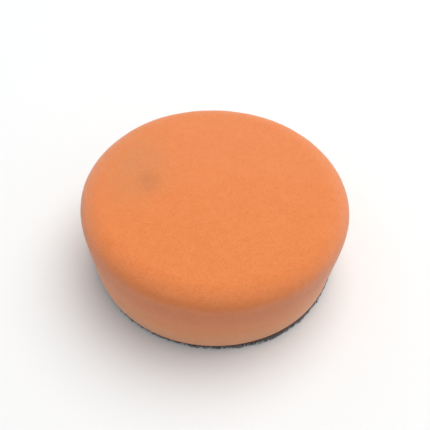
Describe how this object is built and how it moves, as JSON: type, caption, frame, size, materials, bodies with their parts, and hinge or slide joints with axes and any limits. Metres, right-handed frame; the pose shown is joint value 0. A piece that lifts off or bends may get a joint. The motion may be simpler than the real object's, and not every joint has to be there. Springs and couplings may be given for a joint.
{
  "type": "polishing pad",
  "caption": "Round foam polishing pad with a rounded working edge, a side that narrows towards the back, and a hook-and-loop fabric laminated to its back.",
  "frame": {"origin": "centre of the loop side, the flat face that meets a backing plate, which is also the pad's lowest face", "axes": "+Z along the pad's axis of symmetry, from the loop side towards the working face"},
  "size_m": [0.08, 0.08, 0.0276],
  "materials": {
    "foam": "matte open-cell polyurethane foam, ground smooth",
    "adhesive": "thin translucent hot-melt film",
    "loop_ground": "warp-knitted nylon ground, matte",
    "loop_pile": "brushed nylon loops"
  },
  "bodies": {
    "root": {"foam_body": "foam", "adhesive_film": "adhesive", "loop_fabric": "loop_ground", "loop_pile": "loop_pile"}
  },
  "joints": []
}
